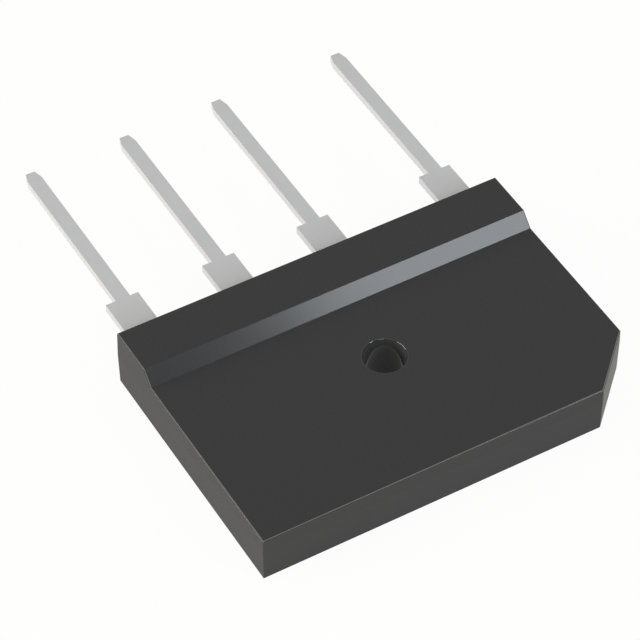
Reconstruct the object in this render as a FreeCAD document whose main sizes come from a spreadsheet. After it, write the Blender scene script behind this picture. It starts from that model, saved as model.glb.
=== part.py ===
import FreeCAD, Part
import math
import os
import re
import Sketcher

# Flat single-in-line bridge rectifier: an epoxy body moulded round four leads, four diode chips and three clips.
# Frame: origin on the axis of the screw hole at the flat back face, +Z out of the front, +Y towards the leads.
# All lengths are in millimetres and angles in degrees.

doc = FreeCAD.newDocument("bridge_rectifier")
sheet = doc.addObject("Spreadsheet::Sheet", "sizes")

sizes = {
    # moulded body
    "body_width": 30.0,
    "body_height": 20.0,
    "body_thickness": 3.7,
    "hole_to_lead_end": 10.0,
    "hole_diameter": 3.01,
    "hole_land": 1.2,
    "hole_flare": 0.025,
    "rim_radius": 0.07,
    "corner_cut": 4.0,
    "band_width": 3.8,
    "band_rise": 1.0,
    "slope_run": 0.95,
    "draft_angle": 1.0,
    "edge_radius": 0.07,
    # leads outside the body
    "lead_thickness": 0.6,
    "lead_level": 2.6,
    "lead_inset": 2.5,
    "lead_pitch": 7.5,
    "lead_length": 18.1,
    "shoulder_width": 2.5,
    "shoulder_length": 3.95,
    "shoulder_shift": 0.08,
    "pin_width": 1.1,
    "tip_width": 0.7,
    "tip_length": 0.75,
    # leads inside the body
    "pad_level": 0.9,
    "side_cover": 1.0,
    "hole_cover": 0.85,
    "pad_gap": 0.8,
    "negative_pad_width": 4.6,
    "positive_leg_width": 4.4,
    "bend_radius": 0.3,
    "ear_width": 0.4,
    "ear_length": 1.2,
    "ear_cover": 1.6,
    # chips, solder and clips
    "chip_side": 3.2,
    "chip_thickness": 0.25,
    "mesa_bevel": 0.1,
    "solder_thickness": 0.05,
    "solder_spread": 0.15,
    "clip_thickness": 0.3,
    "clip_width": 1.9,
    "clip_rise": 0.4,
    "clip_bend_radius": 0.12,
    "chip_foot": 1.9,
    "pad_foot": 1.1,
    "foot_margin": 0.2,
    "chip_gap": 0.5,
    "bar_width": 2.1,
    "bar_gap": 0.4,
}

# Places worked out from the sizes above, by the name that the pieces use for them.
places = {
    "back_end": "hole_to_lead_end - body_height",
    "band_top": "body_thickness + band_rise",
    "slope_top": "hole_to_lead_end - band_width",
    "slope_foot": "slope_top - slope_run",
    "negative_x": "lead_inset - body_width / 2",
    "ac_two_x": "negative_x + lead_pitch",
    "ac_one_x": "ac_two_x + lead_pitch",
    "positive_x": "body_width / 2 - lead_inset",
    "shoulder_end": "hole_to_lead_end + shoulder_length",
    "lead_tip": "hole_to_lead_end + lead_length",
    "ear_end": "hole_to_lead_end - ear_cover",
    "ear_start": "ear_end - ear_length",
    # the lead frame's pads keep clear of the outside, the hole and each other
    "side_edge": "body_width / 2 - side_cover",
    "back_edge": "back_end + side_cover",
    "pad_corner_cut": "corner_cut - side_cover * (2 - sqrt(2))",
    "hole_clear": "hole_diameter / 2 + hole_cover",
    "arm_front": "-hole_clear - pad_gap",
    "negative_edge": "negative_pad_width - side_edge",
    "left_edge": "negative_edge + pad_gap",
    "leg_edge": "side_edge - positive_leg_width",
    "right_edge": "leg_edge - pad_gap",
    # the chips stand in two rows and two columns
    "left_column": "(left_edge - hole_clear) / 2",
    "right_column": "(right_edge + hole_clear) / 2",
    "negative_column": "(negative_edge - side_edge) / 2",
    "upper_row": "(back_edge + arm_front) / 2",
    "pad_foot_start": "foot_margin - hole_clear",
    "pad_foot_end": "pad_foot_start + pad_foot",
    "lower_row": "pad_foot_end + chip_gap + chip_side / 2",
    "bar_start": "lower_row + chip_foot / 2 + clip_rise",
    "bar_end": "bar_start + bar_width",
    "pad_end": "bar_end + bar_gap",
    # heights of the stack
    "pad_top": "pad_level + lead_thickness",
    "chip_level": "pad_top + solder_thickness",
    "chip_top": "chip_level + chip_thickness",
    "clip_level": "chip_top + solder_thickness",
    "clip_high": "clip_level + clip_rise",
    "foot_level": "pad_top + solder_thickness",
}

for row, (alias, number) in enumerate(sizes.items(), start=1):
    sheet.set(f"A{row}", alias)
    sheet.set(f"B{row}", str(number))
    sheet.setAlias(f"B{row}", alias)
doc.recompute()


def expand(formula):
    # a formula in plain names becomes an expression on the sheet's cells
    def one_word(match):
        word = match.group(0)
        if word in places:
            return "(" + expand(places[word]) + ")"
        if word in sizes:
            return "sizes." + word
        return word
    return re.sub(r"[a-z_]+", one_word, formula)


def bind(thing, path, formula):
    thing.setExpression(path, expand(formula))


def measure(formula):
    return float(sheet.evalExpression(expand(formula)))


def plane(body, role):
    return next(feature for feature in body.Origin.OriginFeatures if feature.Role == role)


def new_sketch(body, name, role, offset="0"):
    sketch = body.newObject("Sketcher::SketchObject", name)
    sketch.AttachmentSupport = [(plane(body, role), "")]
    sketch.MapMode = "FlatFace"
    bind(sketch, "AttachmentOffset.Base.z", offset)
    return sketch


def locate(sketch, index, end, across, up):
    # the point takes both its distances from the sketch's origin
    sketch.addConstraint(Sketcher.Constraint("DistanceX", -1, 1, index, end, measure(across)))
    bind(sketch, f"Constraints[{sketch.ConstraintCount - 1}]", across)
    sketch.addConstraint(Sketcher.Constraint("DistanceY", -1, 1, index, end, measure(up)))
    bind(sketch, f"Constraints[{sketch.ConstraintCount - 1}]", up)


def outline(body, name, role, points, offset="0"):
    # a closed polygon through points that are pairs of formulas
    sketch = new_sketch(body, name, role, offset)
    corners = [FreeCAD.Vector(measure(across), measure(up), 0) for across, up in points]
    for index, corner in enumerate(corners):
        sketch.addGeometry(Part.LineSegment(corner, corners[(index + 1) % len(corners)]))
    for index, (across, up) in enumerate(points):
        following = (index + 1) % len(points)
        sketch.addConstraint(Sketcher.Constraint("Coincident", index, 2, following, 1))
        locate(sketch, index, 1, across, up)
    return sketch


def rectangle(body, name, middle_x, middle_y, width, depth, level):
    # a level rectangle given by its middle and its sides
    left = f"{middle_x} - ({width}) / 2"
    right = f"{middle_x} + ({width}) / 2"
    near = f"{middle_y} - ({depth}) / 2"
    far = f"{middle_y} + ({depth}) / 2"
    return outline(body, name, "XY_Plane", [(left, near), (right, near), (right, far), (left, far)], level)


def pad(body, name, profile, length, symmetric=False):
    feature = body.newObject("PartDesign::Pad", name)
    feature.Profile = profile
    bind(feature, "Length", length)
    feature.SideType = "Symmetric" if symmetric else "One side"
    feature.Refine = True
    return feature


def edges_where(shape, test):
    # names of the edges whose end points pass the test
    return [
        f"Edge{number}" for number, edge in enumerate(shape.Edges, start=1)
        if test([vertex.Point for vertex in edge.Vertexes])
    ]


def round_bends(body, base, name, corners, radius):
    # the bends run along X through corners, which are pairs of formulas for Y and height
    doc.recompute()
    places_across = [(measure(y), measure(z)) for y, z in corners]

    def at_bend(ends):
        return any(all(math.hypot(end.y - y, end.z - z) < 1e-4 for end in ends) for y, z in places_across)

    feature = body.newObject("PartDesign::Fillet", name)
    feature.Base = (base, edges_where(base.Shape, at_bend))
    bind(feature, "Radius", radius)
    return feature


def new_body(name):
    body = doc.addObject("PartDesign::Body", name)
    body.Label = name
    return body


def bent_strip(body, name, middle, width, line, thickness, radius):
    # A flat strip bent by 45 degrees at each inner point of line, which is its under side from end to end.
    # Each point holds its place in Y, its height, and +1 where the strip turns up, -1 where it turns down.
    shift = f"{thickness} * tan(22.5)"
    under = [(y, z) for y, z, turn, rising in line]
    over = [(f"{y} - ({rising}) * {shift}", f"{z} + {thickness}") for y, z, turn, rising in line]
    profile = outline(body, name + "_profile", "YZ_Plane", under + over[::-1], middle)
    strip = pad(body, name, profile, width, symmetric=True)
    inner = [over[i] if point[2] > 0 else under[i] for i, point in enumerate(line) if point[2]]
    outer = [under[i] if point[2] > 0 else over[i] for i, point in enumerate(line) if point[2]]
    bends = round_bends(body, strip, name + "_inner_bends", inner, radius)
    return round_bends(body, bends, name + "_outer_bends", outer, f"{radius} + {thickness}")


# Leads

def lead_sides(centre):
    # the right and left edges of neck, ears, shoulder, pin and tip, from the body's inside outwards
    sides = []
    for sign in ("+", "-"):
        shoulder = f"{centre} - shoulder_shift {sign} shoulder_width / 2"
        ear = f"{shoulder} {sign} ear_width"
        pin = f"{centre} {sign} pin_width / 2"
        tip = f"{centre} {sign} tip_width / 2"
        sides.append([
            (shoulder, "ear_start"),
            (ear, "ear_start"),
            (ear, "ear_end"),
            (shoulder, "ear_end"),
            (shoulder, "shoulder_end"),
            (pin, "shoulder_end"),
            (pin, "lead_tip - tip_length"),
            (tip, "lead_tip"),
        ])
    return sides


def make_lead(name, centre, inside, start):
    # a formed lead is its side view, run across the body, cut to its outline in plan
    right, left = lead_sides(centre)
    plan = new_body(name + "_plan")
    drawing = outline(plan, name + "_outline", "XY_Plane", inside + right + left[::-1])
    pad(plan, name + "_blank", drawing, "band_top")
    side = new_body(name + "_side")
    line = [
        (start, "pad_level", 0, "0"),
        ("pad_end", "pad_level", 1, "1"),
        ("pad_end + lead_level - pad_level", "lead_level", -1, "1"),
        ("lead_tip", "lead_level", 0, "0"),
    ]
    bent_strip(side, name + "_form", "0", "body_width", line, "lead_thickness", "bend_radius")
    lead = doc.addObject("Part::MultiCommon", name)
    lead.Shapes = [side, plan]
    lead.Label = name
    return lead


neck = {
    name: [f"{centre} - shoulder_shift {sign} shoulder_width / 2" for sign in ("-", "+")]
    for name, centre in [
        ("negative", "negative_x"), ("ac_two", "ac_two_x"), ("ac_one", "ac_one_x"), ("positive", "positive_x")
    ]
}

lead_negative = make_lead("lead_negative", "negative_x", [
    (neck["negative"][0], "pad_end"),
    ("-side_edge", "pad_end"),
    ("-side_edge", "back_edge"),
    ("negative_edge", "back_edge"),
    ("negative_edge", "pad_end"),
    (neck["negative"][1], "pad_end"),
], "back_edge")

lead_ac_two = make_lead("lead_ac_two", "ac_two_x", [
    (neck["ac_two"][0], "pad_end"),
    ("left_edge", "pad_end"),
    ("left_edge", "-hole_clear"),
    ("-hole_clear", "-hole_clear"),
    ("-hole_clear", "pad_end"),
    (neck["ac_two"][1], "pad_end"),
], "-hole_clear")

lead_ac_one = make_lead("lead_ac_one", "ac_one_x", [
    (neck["ac_one"][0], "hole_clear + pad_gap"),
    ("hole_clear", "hole_clear + pad_gap"),
    ("hole_clear", "-hole_clear"),
    ("right_edge", "-hole_clear"),
    ("right_edge", "pad_end"),
    (neck["ac_one"][1], "pad_end"),
], "-hole_clear")

lead_positive = make_lead("lead_positive", "positive_x", [
    (neck["positive"][0], "pad_end"),
    ("leg_edge", "pad_end"),
    ("leg_edge", "arm_front"),
    ("left_edge", "arm_front"),
    ("left_edge", "back_edge"),
    ("side_edge - pad_corner_cut", "back_edge"),
    ("side_edge", "back_edge + pad_corner_cut"),
    ("side_edge", "pad_end"),
    (neck["positive"][1], "pad_end"),
], "back_edge")

leads = [lead_negative, lead_ac_two, lead_ac_one, lead_positive]


# Chips and their solder

def make_block(name, middle_x, middle_y, width, depth, level, height):
    body = new_body(name)
    pad(body, name + "_block", rectangle(body, name + "_sketch", middle_x, middle_y, width, depth, level), height)
    return body


def make_chip(number, column, row):
    # a square chip whose upper edges are bevelled down to the glass-filled moat
    chip = make_block(f"chip_{number}", column, row, "chip_side", "chip_side", "chip_level", "chip_thickness")
    doc.recompute()
    block = chip.Tip
    top = measure("chip_top")
    bevel = chip.newObject("PartDesign::Chamfer", f"chip_{number}_mesa")
    bevel.Base = (block, edges_where(block.Shape, lambda ends: all(abs(end.z - top) < 1e-4 for end in ends)))
    bind(bevel, "Size", "mesa_bevel")
    spread = "chip_side + 2 * solder_spread"
    under = make_block(f"die_solder_{number}", column, row, spread, spread, "pad_top", "solder_thickness")
    over = make_block(f"clip_solder_{number}", column, row, "clip_width", "chip_foot", "chip_top",
                      "solder_thickness")
    return [chip, under, over]


chips = [
    piece
    for number, (column, row) in enumerate([
        ("right_column", "upper_row"),
        ("left_column", "upper_row"),
        ("right_column", "lower_row"),
        ("left_column", "lower_row"),
    ], start=1)
    for piece in make_chip(number, column, row)
]


# Clips

def make_ac_clip(name, column):
    # an arch from a chip on the positive arm to the pad in front of it
    body = new_body("clip_" + name)
    line = [
        ("upper_row - chip_foot / 2", "clip_level", 0, "0"),
        ("upper_row + chip_foot / 2", "clip_level", 1, "1"),
        ("upper_row + chip_foot / 2 + clip_rise", "clip_high", -1, "1"),
        ("pad_foot_start - clip_high + foot_level", "clip_high", -1, "-1"),
        ("pad_foot_start", "foot_level", 1, "-1"),
        ("pad_foot_end", "foot_level", 0, "0"),
    ]
    bent_strip(body, f"clip_{name}_arch", column, "clip_width", line, "clip_thickness", "clip_bend_radius")
    solder = make_block("foot_solder_" + name, column, "(pad_foot_start + pad_foot_end) / 2", "clip_width",
                        "pad_foot", "pad_top", "solder_thickness")
    return [body, solder]


def make_negative_clip():
    # a comb: one bar across both lower chips, with a finger down to each chip and one to the negative pad
    body = new_body("clip_negative")
    fingers = [("right", "right_column", "clip_level"), ("left", "left_column", "clip_level"),
               ("end", "negative_column", "foot_level")]
    for name, column, level in fingers:
        line = [
            ("lower_row - chip_foot / 2", level, 0, "0"),
            (f"bar_start - clip_high + {level}", level, 1, "1"),
            ("bar_start", "clip_high", -1, "1"),
            ("bar_end", "clip_high", 0, "0"),
        ]
        bent_strip(body, f"finger_{name}", column, "clip_width", line, "clip_thickness", "clip_bend_radius")
    middle = "(negative_column + right_column) / 2"
    length = "right_column - negative_column + clip_width"
    bar = rectangle(body, "bar_sketch", middle, "(bar_start + bar_end + clip_width / 4) / 2", length,
                    "bar_width - clip_width / 4", "clip_high")
    pad(body, "bar", bar, "clip_thickness")
    foot_length = "bar_start - clip_high + foot_level - lower_row + chip_foot / 2"
    solder = make_block("foot_solder_negative", "negative_column",
                        f"lower_row - chip_foot / 2 + ({foot_length}) / 2", "clip_width", foot_length,
                        "pad_top", "solder_thickness")
    return [body, solder]


clips = make_ac_clip("ac_one", "right_column") + make_ac_clip("ac_two", "left_column") + make_negative_clip()


# Moulded body

def make_moulding():
    # two drafted halves that part at the leads' under side
    body = new_body("moulding")
    half = "body_width / 2"
    drawing = outline(body, "parting_outline", "XY_Plane", [
        (f"-{half}", "back_end"),
        (f"{half} - corner_cut", "back_end"),
        (half, "back_end + corner_cut"),
        (half, "hole_to_lead_end"),
        (f"-{half}", "hole_to_lead_end"),
    ], "lead_level")
    halves = pad(body, "halves", drawing, "band_top - lead_level")
    halves.SideType = "Two sides"
    bind(halves, "Length2", "lead_level")
    bind(halves, "TaperAngle", "-draft_angle")
    bind(halves, "TaperAngle2", "-draft_angle")
    doc.recompute()

    whole = halves.Shape.Volume
    step = body.newObject("PartDesign::Pocket", "step")
    step.Profile = outline(body, "step_outline", "YZ_Plane", [
        ("back_end - body_thickness", "body_thickness"),
        ("slope_foot", "body_thickness"),
        ("slope_top", "band_top"),
        ("slope_top", "band_top + band_rise"),
        ("back_end - body_thickness", "band_top + band_rise"),
    ])
    step.Type = "ThroughAll"
    step.SideType = "Symmetric"
    doc.recompute()
    if step.Shape.Volume >= whole:
        raise RuntimeError("the step cuts nothing")

    stepped = step.Shape.Volume
    # the hole is straight at the back, where it guides the screw, and widens from there to the front
    section = outline(body, "hole_section", "YZ_Plane", [
        ("0", "-body_thickness"),
        ("-hole_diameter / 2", "-body_thickness"),
        ("-hole_diameter / 2", "hole_land"),
        ("-hole_diameter / 2 - hole_flare", "body_thickness"),
        ("-hole_diameter / 2 - hole_flare", "body_thickness * 2"),
        ("0", "body_thickness * 2"),
    ])
    hole = body.newObject("PartDesign::Groove", "screw_hole")
    hole.Profile = section
    hole.ReferenceAxis = (section, ["V_Axis"])
    hole.Angle = 360
    doc.recompute()
    if hole.Shape.Volume >= stepped:
        raise RuntimeError("the hole cuts nothing")
    return body, hole


def round_edges(body, base):
    # the edges round the front and the band are rounded, and so is the hole's front rim; the corners, the
    # parting plane and the back, which lies on a heat sink, keep sharp edges
    parting = measure("lead_level")

    def at_hole(end):
        return math.hypot(end.x, end.y) < measure("hole_diameter")

    def outer(ends):
        return not any(at_hole(end) for end in ends) and all(end.z > parting + 1e-4 for end in ends)

    def front_rim(ends):
        return all(at_hole(end) and end.z > parting for end in ends)

    rounded = body.newObject("PartDesign::Fillet", "rounded_edges")
    rounded.Base = (base, edges_where(base.Shape, outer))
    bind(rounded, "Radius", "edge_radius")
    doc.recompute()
    mouth = body.newObject("PartDesign::Fillet", "hole_rim")
    mouth.Base = (rounded, edges_where(rounded.Shape, front_rim))
    bind(mouth, "Radius", "rim_radius")


moulding, hole = make_moulding()
round_edges(moulding, hole)

inner = doc.addObject("Part::MultiFuse", "insert")
inner.Shapes = leads + chips + clips
moulded_body = doc.addObject("Part::Cut", "moulded_body")
moulded_body.Base = moulding
moulded_body.Tool = inner
moulded_body.Label = "moulded_body"

doc.recompute()

for thing in doc.Objects:
    if "Invalid" in thing.State or "Error" in thing.State:
        raise RuntimeError(f"{thing.Name} failed: {thing.State}")

os.makedirs("parts", exist_ok=True)
for piece in [moulded_body] + leads + chips + clips:
    shape = piece.Shape
    if shape.isNull() or not shape.isValid() or len(shape.Solids) != 1:
        raise RuntimeError(f"{piece.Label} is not one sound solid")
    shape.exportStep(f"parts/{piece.Label}.step")
    print(f"{piece.Label}: {shape.Volume:.3f} cubic millimetres, {len(shape.Faces)} faces")
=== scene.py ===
import math
import bpy
import numpy as np
from mathutils import Matrix, Vector


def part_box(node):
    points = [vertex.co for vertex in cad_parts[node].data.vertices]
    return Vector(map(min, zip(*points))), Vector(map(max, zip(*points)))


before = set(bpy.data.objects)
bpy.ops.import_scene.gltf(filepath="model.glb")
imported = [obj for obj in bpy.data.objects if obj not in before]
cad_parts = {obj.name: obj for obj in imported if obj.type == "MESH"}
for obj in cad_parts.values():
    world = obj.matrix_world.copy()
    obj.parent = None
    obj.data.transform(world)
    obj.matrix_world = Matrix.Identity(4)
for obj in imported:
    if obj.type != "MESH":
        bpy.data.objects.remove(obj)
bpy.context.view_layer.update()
millimetre = 0.001
print("frame loaded:", len(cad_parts), "pieces")


# camera

camera = {
    "turn": -30.06,            # degrees from the front, towards the negative lead
    "tilt": 46.79,             # degrees above the table
    "distance": 222.1,         # millimetres from the middle of the hole, in the plane of the back face
    "aside": (-4.330, 4.931),  # millimetres across and up, in the plane of the picture
    "lens": 184.07,            # focal length in millimetres, for the sensor's width
    "sensor": 36,
    "nearest": 0.01,           # metres: what lies nearer or farther isn't seen
    "farthest": 20,
}


def direction(turn, tilt):
    # the way to a place that stands turn degrees from the front, counted to the right, and tilt degrees up
    turn = math.radians(turn)
    tilt = math.radians(tilt)
    return Vector((math.sin(turn) * math.cos(tilt), -math.cos(turn) * math.cos(tilt), math.sin(tilt)))


def addCamera(choice):
    back = direction(choice["turn"], choice["tilt"])
    right = direction(choice["turn"] + 90, 0)
    up = back.cross(right)
    across, upwards = choice["aside"]
    data = bpy.data.cameras.new("camera")
    data.lens = choice["lens"]
    data.sensor_width = choice["sensor"]
    data.clip_start = choice["nearest"]
    data.clip_end = choice["farthest"]
    view = bpy.data.objects.new("camera", data)
    place = (back * choice["distance"] + right * across + up * upwards) * millimetre
    view.matrix_world = Matrix.Translation(place) @ Matrix((right, up, back)).transposed().to_4x4()
    bpy.context.scene.collection.objects.link(view)
    bpy.context.scene.camera = view


addCamera(camera)
bpy.context.scene.view_settings.view_transform = "Standard"
print("camera placed")


# shader maths as Python arithmetic

class Term:
    # one socket of a finish; arithmetic on it adds Math nodes
    def __init__(self, finish, socket):
        self.finish = finish
        self.socket = socket

    def __add__(self, other):
        return self.finish.math("ADD", self, other)

    def __radd__(self, other):
        return self.finish.math("ADD", other, self)

    def __sub__(self, other):
        return self.finish.math("SUBTRACT", self, other)

    def __rsub__(self, other):
        return self.finish.math("SUBTRACT", other, self)

    def __mul__(self, other):
        return self.finish.math("MULTIPLY", self, other)

    def __rmul__(self, other):
        return self.finish.math("MULTIPLY", other, self)

    def __abs__(self):
        return self.finish.math("ABSOLUTE", self)


class Finish:
    # a material and the nodes that make it
    def __init__(self, name):
        self.material = bpy.data.materials.new(name)
        self.material.use_nodes = True
        self.tree = self.material.node_tree
        self.tree.nodes.clear()

    def node(self, kind, settings=None, inputs=None, output=0):
        # any node: its settings come first, then the value or link of each socket
        made = self.tree.nodes.new(kind)
        for name, value in (settings or {}).items():
            setattr(made, name, value)
        for name, value in (inputs or {}).items():
            if isinstance(value, Term):
                self.tree.links.new(value.socket, made.inputs[name])
            else:
                made.inputs[name].default_value = value
        return Term(self, made.outputs[output]) if made.outputs else made

    def math(self, operation, *values):
        return self.node("ShaderNodeMath", {"operation": operation}, dict(enumerate(values)))

    def largest(self, first, *others):
        for other in others:
            first = self.math("MAXIMUM", first, other)
        return first

    def place(self):
        return self.node("ShaderNodeTexCoord", output="Object")

    def axes(self):
        # the place's three coordinates, in millimetres
        scaling = {0: self.place(), "Scale": 1 / millimetre}
        scaled = self.node("ShaderNodeVectorMath", {"operation": "SCALE"}, scaling)
        parts = self.node("ShaderNodeSeparateXYZ", inputs={0: scaled})
        return [Term(self, socket) for socket in parts.socket.node.outputs]

    def above(self, value, level, soft):
        # 0 under the level and 1 over it, passing evenly from one to the other over the width soft
        span = {"Value": value, "From Min": level - soft / 2, "From Max": level + soft / 2}
        return self.node("ShaderNodeMapRange", inputs=span)

    def below(self, value, level, soft):
        return 1 - self.above(value, level, soft)

    def grain(self, size, detail=2, stretch=(1, 1, 1)):
        # noise of about 0 to 1 in lumps of size millimetres, drawn out along an axis by a stretch under 1
        spread = self.node("ShaderNodeMapping", inputs={"Vector": self.place(), "Scale": stretch})
        settings = {"Vector": spread, "Scale": 1 / (size * millimetre), "Detail": detail}
        return self.node("ShaderNodeTexNoise", inputs=settings)

    def bump(self, height, depth):
        # depth is in millimetres
        return self.node("ShaderNodeBump", inputs={"Height": height, "Distance": depth * millimetre})

    def opaque(self, colour):
        return colour if isinstance(colour, Term) else (*colour, 1.0)

    def blend(self, share, low, high):
        # the colour low where the share is 0, and high where it is 1; 6 and 7 are the node's colour sockets
        colours = {"Factor": share, 6: self.opaque(low), 7: self.opaque(high)}
        return self.node("ShaderNodeMix", {"data_type": "RGBA"}, colours, output=2)

    def close(self, **inputs):
        # an underscore stands for the space in a socket's name
        names = {name.replace("_", " "): value for name, value in inputs.items()}
        surface = self.node("ShaderNodeBsdfPrincipled", inputs=names)
        self.node("ShaderNodeOutputMaterial", inputs={"Surface": surface})
        return self.material


def boxOf(node):
    # the node's lowest and highest corners, in millimetres
    return [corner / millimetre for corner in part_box(node)]


# finishes; every size is in millimetres

epoxy = {
    "black": (0.0246, 0.0246, 0.0248),
    "filler": (0.0313, 0.0312, 0.0315),
    "fillerLevel": 0.55,       # of the grain: the filler shows over it
    "fillerSoft": 0.4,
    # painted highlight: a pale line along the near and left edges of the front, standing in for light caught
    # on their rounds
    "paintedEdgeHighlight": (0.157, 0.156, 0.150),
    # painted light: the hole's wall is painted paler than the black, standing in for light inside the hole
    "holeWallPaintedLighter": (0.050, 0.050, 0.0495),
    # painted shade: the round of the hole's rim is painted darker than the black, against the sky its coat
    # mirrors
    "rim": (0.012, 0.012, 0.012),
    "roughness": 0.115,
    "wallRoughness": 0.51,
    "cutRoughness": 0.40,      # on the cut corner, whose mould face is smoother
    "coredRoughness": 0.09,
    "grainRoughness": 0.02,    # what the grain adds to the roughness
    "flowRoughness": 0.01,     # and what the flow of the resin adds
    "index": 1.42,             # of refraction
    "rimIndex": 1.6,           # the same for the smooth skin on the round of the hole's rim
    "grainSize": 0.09,
    "grainDepth": 0.0006,
    "flowSize": 4,
    "flowStretch": 0.4,
    "cutSide": 4,              # what the cut corner takes off each side
    "bandHeight": 1,
    "slopeMiddle": 5.733,      # a touch behind the solid's slope, so that the painted highlight shows at its end too
    "slopeRun": 0.95,
    "wallReach": 0.07,         # how far in from the outline the walls' duller finish starts
    "wallSoft": 0.03,
    "polishDepth": 0.05,       # how far the polish of the front reaches down round its edges
    "paintedHighlightReach": 0.11,         # how far the painted highlight reaches in from the outline
    "paintedHighlightDepth": 0.01,         # and down from the front
    "frontSoft": 0.02,
    "coredRadius": 1.54,       # just past the hole's wall
    "coredSoft": 0.01,
    "mouthRadius": 1.602,      # just past the round of its rim
    "mouthSoft": 0.004,
    "rimLevel": 3.62,          # the height from which the rim has its skin
}


def mouldedEpoxy(choice):
    # black compound: fine mineral filler in the resin, polished on its faces, duller on its upright walls,
    # with painted light on the hole's wall, painted shade on the round of its rim, and a painted highlight
    # along the near and left edges of the front
    finish = Finish("moulded_epoxy")
    x, y, z = finish.axes()
    low, high = boxOf("moulded_body")

    # how far out a point lies past the cut, the outline and the near and left sides that take the painted
    # highlight: under 0 inside them
    cut = (x - y - (high.x - low.y - choice["cutSide"])) * math.sqrt(0.5)
    outline = finish.largest(abs(x) - high.x, abs(y) - high.y, cut)
    highlightedSides = finish.largest(low.x - x, low.y - y, cut)

    # how deep it lies under the front, which the slope lifts to the band
    lift = choice["bandHeight"] * finish.above(y, choice["slopeMiddle"], choice["slopeRun"])
    depth = lift + (high.z - choice["bandHeight"]) - z
    upright = finish.above(depth, choice["polishDepth"], choice["frontSoft"])
    wall = upright * finish.above(outline, -choice["wallReach"], choice["wallSoft"])
    atCut = upright * finish.above(cut, -choice["wallReach"], choice["wallSoft"])
    # painted highlight: the band along the near and left edges of the front that is painted pale
    paintedHighlight = finish.above(highlightedSides, -choice["paintedHighlightReach"], choice["frontSoft"])
    paintedHighlight = paintedHighlight * finish.below(depth, choice["paintedHighlightDepth"], choice["frontSoft"])

    # the hole's wall, and the round of its rim
    fromAxis = finish.math("SQRT", x * x + y * y)
    holeWallPaintedLighter = finish.below(fromAxis, choice["coredRadius"], choice["coredSoft"])
    rim = finish.below(fromAxis, choice["mouthRadius"], choice["mouthSoft"])
    rim = rim * finish.above(z, choice["rimLevel"], choice["coredSoft"])

    grain = finish.grain(choice["grainSize"], detail=3)
    flow = finish.grain(choice["flowSize"], stretch=(1, choice["flowStretch"], 1))
    filled = finish.above(grain, choice["fillerLevel"], choice["fillerSoft"])
    colour = finish.blend(filled, choice["black"], choice["filler"])
    # painted highlight: the near and left edges of the front are painted pale
    colour = finish.blend(paintedHighlight, colour, choice["paintedEdgeHighlight"])
    # painted light: the hole's wall is painted paler than the black
    colour = finish.blend(holeWallPaintedLighter, colour, choice["holeWallPaintedLighter"])
    # painted shade: the round of the hole's rim is painted darker than the black
    colour = finish.blend(rim, colour, choice["rim"])
    roughness = choice["roughness"] + (choice["wallRoughness"] - choice["roughness"]) * wall
    roughness = roughness + (choice["cutRoughness"] - choice["wallRoughness"]) * atCut
    roughness = roughness + (choice["coredRoughness"] - choice["roughness"]) * holeWallPaintedLighter
    roughness = roughness + choice["grainRoughness"] * grain + choice["flowRoughness"] * flow
    return finish.close(
        Base_Color=colour,
        Roughness=roughness,
        Normal=finish.bump(grain, choice["grainDepth"]),
        Coat_Weight=rim,
        Coat_IOR=choice["rimIndex"],
        IOR=choice["index"],
    )


tin = {
    "bright": (0.705, 0.706, 0.713),
    "dull": (0.652, 0.653, 0.660),
    "bareCopper": (0.72, 0.36, 0.22),
    "roughness": 0.8,
    "blotchRoughness": 0.06,   # what the blotches add to the roughness
    "streakRoughness": 0.03,   # and what the streaks add
    "blotchSize": 1.1,
    "streakSize": 0.12,
    "streakStretch": 0.04,
    "streakDepth": 0.0005,
    "tinnedFrom": 10,          # the plating stops where the epoxy starts
    "tinnedSoft": 0.2,
}


def tinnedCopper(choice):
    # dull tin over copper: drawn streaks along the lead, soft blotches from the plating bath
    finish = Finish("tinned_copper")
    along = finish.axes()[1]
    streaks = finish.grain(choice["streakSize"], stretch=(1, choice["streakStretch"], 1))
    blotches = finish.grain(choice["blotchSize"], detail=3)
    plating = finish.blend(0.5 * streaks + 0.5 * blotches, choice["dull"], choice["bright"])
    outside = finish.above(along, choice["tinnedFrom"], choice["tinnedSoft"])
    uneven = choice["blotchRoughness"] * blotches + choice["streakRoughness"] * streaks
    return finish.close(
        Base_Color=finish.blend(outside, choice["bareCopper"], plating),
        Metallic=1,
        Roughness=choice["roughness"] + uneven,
        Normal=finish.bump(streaks, choice["streakDepth"]),
    )


copper = {
    "stained": (0.60, 0.26, 0.15),
    "clean": (0.80, 0.42, 0.27),
    "roughness": 0.3,
    "stainRoughness": 0.1,
    "streakRoughness": 0.05,
    "stainSize": 1.4,
    "streakSize": 0.1,
    "streakStretch": 0.06,
    "streakDepth": 0.0006,
}


def stampedCopper(choice):
    # rolled strip with fine streaks and a soft stain
    finish = Finish("stamped_copper")
    streaks = finish.grain(choice["streakSize"], stretch=(1, choice["streakStretch"], 1))
    stain = finish.grain(choice["stainSize"], detail=4)
    uneven = choice["stainRoughness"] * stain + choice["streakRoughness"] * streaks
    return finish.close(
        Base_Color=finish.blend(stain, choice["stained"], choice["clean"]),
        Metallic=1,
        Roughness=choice["roughness"] + uneven,
        Normal=finish.bump(streaks, choice["streakDepth"]),
    )


silicon = {
    "dark": (0.20, 0.21, 0.24),
    "light": (0.27, 0.28, 0.31),
    "glass": (0.55, 0.60, 0.58),
    "metallic": 0.85,
    "roughness": 0.22,
    "lapRoughness": 0.1,
    "lapSize": 0.06,
    "lapDepth": 0.0003,
    "contactShare": 0.8,       # of the chip's side: the glass lies outside the contact
    "contactSoft": 0.04,
    "glassDepth": 0.11,        # how far the glass reaches down from the top
    "glassSoft": 0.02,
}


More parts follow.
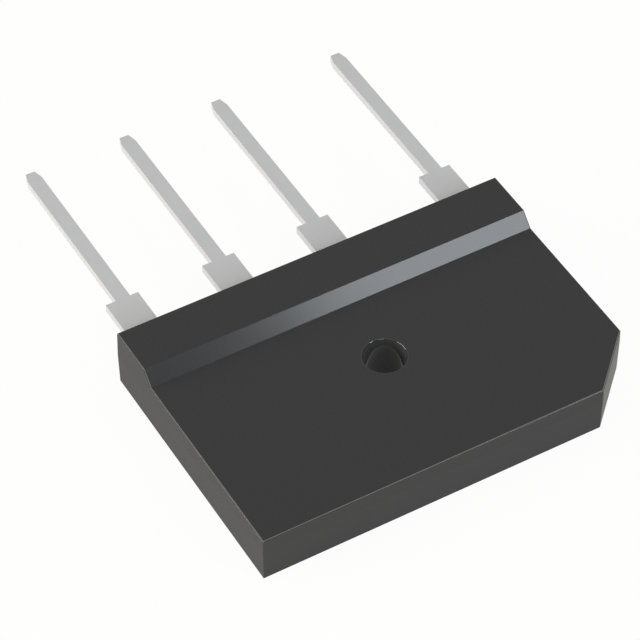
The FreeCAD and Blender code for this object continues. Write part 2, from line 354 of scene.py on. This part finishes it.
def siliconChip(choice, low, high):
    # grey lapped silicon, with a ring of pale passivation glass round the contact on top
    finish = Finish("silicon_chip")
    x, y, z = finish.axes()
    middle = (low + high) / 2
    halfSide = (high.x - low.x) / 2
    reach = finish.largest(abs(x - middle.x), abs(y - middle.y))
    ring = finish.above(reach, choice["contactShare"] * halfSide, choice["contactSoft"] * halfSide)
    glass = ring * finish.above(z, high.z - choice["glassDepth"], choice["glassSoft"])
    lapped = finish.grain(choice["lapSize"], detail=3)
    bare = finish.blend(lapped, choice["dark"], choice["light"])
    return finish.close(
        Base_Color=finish.blend(glass, bare, choice["glass"]),
        Metallic=choice["metallic"] * (1 - glass),
        Roughness=choice["roughness"] + choice["lapRoughness"] * lapped,
        Normal=finish.bump(lapped, choice["lapDepth"]),
    )


solder = {
    "dull": (0.45, 0.46, 0.48),
    "bright": (0.66, 0.67, 0.68),
    "roughness": 0.25,
    "rippleRoughness": 0.2,
    "rippleSize": 0.3,
    "rippleDepth": 0.002,
}


def softSolder(choice):
    # solder that set in fine ripples
    finish = Finish("soft_solder")
    ripple = finish.grain(choice["rippleSize"], detail=4)
    return finish.close(
        Base_Color=finish.blend(ripple, choice["dull"], choice["bright"]),
        Metallic=1,
        Roughness=choice["roughness"] + choice["rippleRoughness"] * ripple,
        Normal=finish.bump(ripple, choice["rippleDepth"]),
    )


def dress(node, material):
    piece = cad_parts[node]
    piece.data.materials.clear()
    piece.data.materials.append(material)


def dressAll():
    tinned = tinnedCopper(tin)
    stamped = stampedCopper(copper)
    soldered = softSolder(solder)
    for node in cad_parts:
        if node == "moulded_body":
            dress(node, mouldedEpoxy(epoxy))
        elif node.startswith("lead"):
            dress(node, tinned)
        elif node.startswith("chip"):
            dress(node, siliconChip(silicon, *boxOf(node)))
        elif "solder" in node:
            dress(node, soldered)
        else:
            dress(node, stamped)


dressAll()
print("finishes made")


# studio

studio = {
    "floorHalf": 1.5,          # metres
    "floorDrop": 0.02,         # millimetres under the part's back face
    "floorRows": 5,            # of points, each way
    "floorColour": (0.86, 0.84, 0.765),
    "fibreShade": 1.02,        # how much lighter the paper is on its fibres
    "fibreSize": 20,           # millimetres
    "floorWhite": 0.95,        # share of plain white that the camera sees in the floor, beside its shadow
    "mirroredWhite": 0.6,      # the same share in what metal and glossy epoxy mirror
    "shadedRadius": 1.36,      # millimetres: under the middle of the hole a painted shadow, where they mirror less of it
    "shadedSoft": 0.1,
    "shadedShare": 0.48,
    "sky": (0.53, 0.53, 0.53),
    "lamps": {                 # turn and tilt as for the camera; distance, width and height in metres
        "panel": {"turn": 32.3, "tilt": 25.0, "distance": 0.4, "width": 0.094, "height": 0.25, "watts": 0.655,
                  "colour": (0.86, 0.93, 0.985)},
        "key": {"turn": -11.0, "tilt": 50.0, "distance": 0.5, "width": 0.14, "height": 0.14, "watts": 0.37,
                "colour": (1.0, 1.0, 1.0)},
        "rim": {"turn": -112.0, "tilt": 17.0, "distance": 0.5, "width": 0.48, "height": 0.2, "watts": 2.3,
                "colour": (1.0, 0.97, 0.89)},
    },
}


def paleFloor(choice):
    # white paper that the camera sees almost plain white, with the part's shadow faint in it, and a painted
    # shadow under the middle of the hole in what metal and epoxy mirror
    finish = Finish("pale_floor")
    lighter = [channel * choice["fibreShade"] for channel in choice["floorColour"]]
    shade = finish.blend(finish.grain(choice["fibreSize"]), choice["floorColour"], lighter)
    paper = finish.node("ShaderNodeBsdfDiffuse", inputs={"Color": shade})
    white = finish.node("ShaderNodeEmission", inputs={"Color": (1, 1, 1, 1), "Strength": 1})
    seen = finish.node("ShaderNodeLightPath", output="Is Camera Ray")
    glossy = finish.node("ShaderNodeLightPath", output="Is Glossy Ray")
    through = finish.node("ShaderNodeLightPath", output="Is Transmission Ray")
    x, y = finish.axes()[:2]
    fromAxis = finish.math("SQRT", x * x + y * y)
    # painted shadow: the mirrored white is cut down under the middle of the hole
    clear = finish.above(fromAxis, choice["shadedRadius"], choice["shadedSoft"])
    lit = choice["shadedShare"] + (1 - choice["shadedShare"]) * clear
    shown = seen * choice["floorWhite"] + (glossy + through) * lit * choice["mirroredWhite"]
    mixed = finish.node("ShaderNodeMixShader", inputs={0: shown, 1: paper, 2: white})
    finish.node("ShaderNodeOutputMaterial", inputs={"Surface": mixed})
    return finish.material


def addFloor(choice):
    # a flat square grid: a point for each step across and along, and a face between every four points
    rows = choice["floorRows"]
    steps = np.linspace(-choice["floorHalf"], choice["floorHalf"], rows)
    across, along = np.meshgrid(steps, steps)
    level = np.full_like(across, -choice["floorDrop"] * millimetre)
    points = np.stack([across, along, level], axis=-1).reshape(-1, 3)
    corner = (np.arange(rows - 1)[:, None] * rows + np.arange(rows - 1)).reshape(-1)
    faces = np.stack([corner, corner + 1, corner + rows + 1, corner + rows], axis=1)
    mesh = bpy.data.meshes.new("floor")
    mesh.from_pydata(points.tolist(), [], faces.tolist())
    mesh.materials.append(paleFloor(choice))
    floor = bpy.data.objects.new("floor", mesh)
    bpy.context.scene.collection.objects.link(floor)


def addSky(choice):
    world = bpy.data.worlds.new("sky")
    world.use_nodes = True
    light = world.node_tree.nodes["Background"].inputs
    light["Color"].default_value = (*choice["sky"], 1)
    light["Strength"].default_value = 1
    bpy.context.scene.world = world


def addLamp(name, choice):
    # a soft rectangular lamp aimed at the part
    towards = direction(choice["turn"], choice["tilt"])
    light = bpy.data.lights.new(name, "AREA")
    light.shape = "RECTANGLE"
    light.size = choice["width"]
    light.size_y = choice["height"]
    light.energy = choice["watts"]
    light.color = choice["colour"]
    lamp = bpy.data.objects.new(name, light)
    lamp.location = towards * choice["distance"]
    lamp.rotation_euler = towards.to_track_quat("Z", "Y").to_euler()
    bpy.context.scene.collection.objects.link(lamp)


addFloor(studio)
addSky(studio)
for name, choice in studio["lamps"].items():
    addLamp(name, choice)
print("studio lit")
